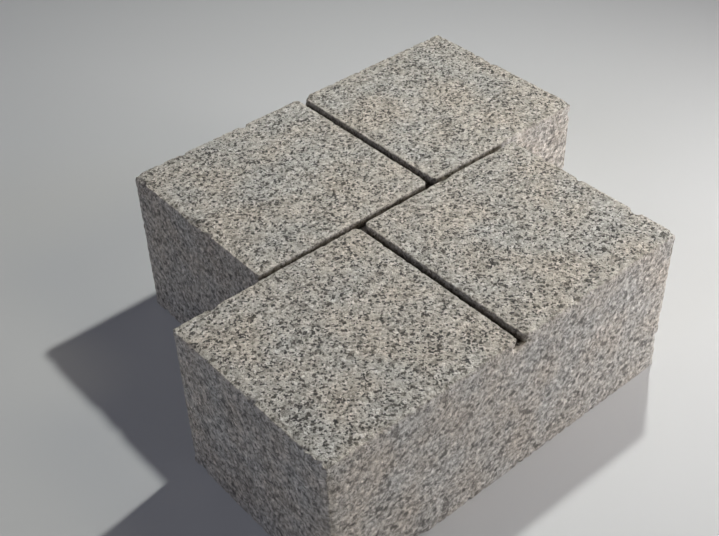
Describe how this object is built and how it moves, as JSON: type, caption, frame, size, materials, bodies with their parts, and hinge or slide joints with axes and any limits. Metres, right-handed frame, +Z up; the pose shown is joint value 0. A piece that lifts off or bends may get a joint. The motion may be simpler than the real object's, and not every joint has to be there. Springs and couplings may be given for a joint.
{
  "type": "granite kerb stone",
  "caption": "Z-shaped granite kerb stone that locks into the next one, with shallow sawn joints in its top like setts in two staggered rows.",
  "frame": {"origin": "middle of the underside: the centre of the stone's outline, on the bed it lies on", "axes": "+X along the kerb, from the front row's free end to the back row's free end; +Y across the kerb, from the front row to the back row; +Z up"},
  "size_m": [0.245, 0.2, 0.08],
  "materials": {
    "granite": "fine grey granite, sawn and flamed, speckled black, grey and white, matt"
  },
  "bodies": {
    "root": {"kerb_stone": "granite"}
  },
  "joints": []
}
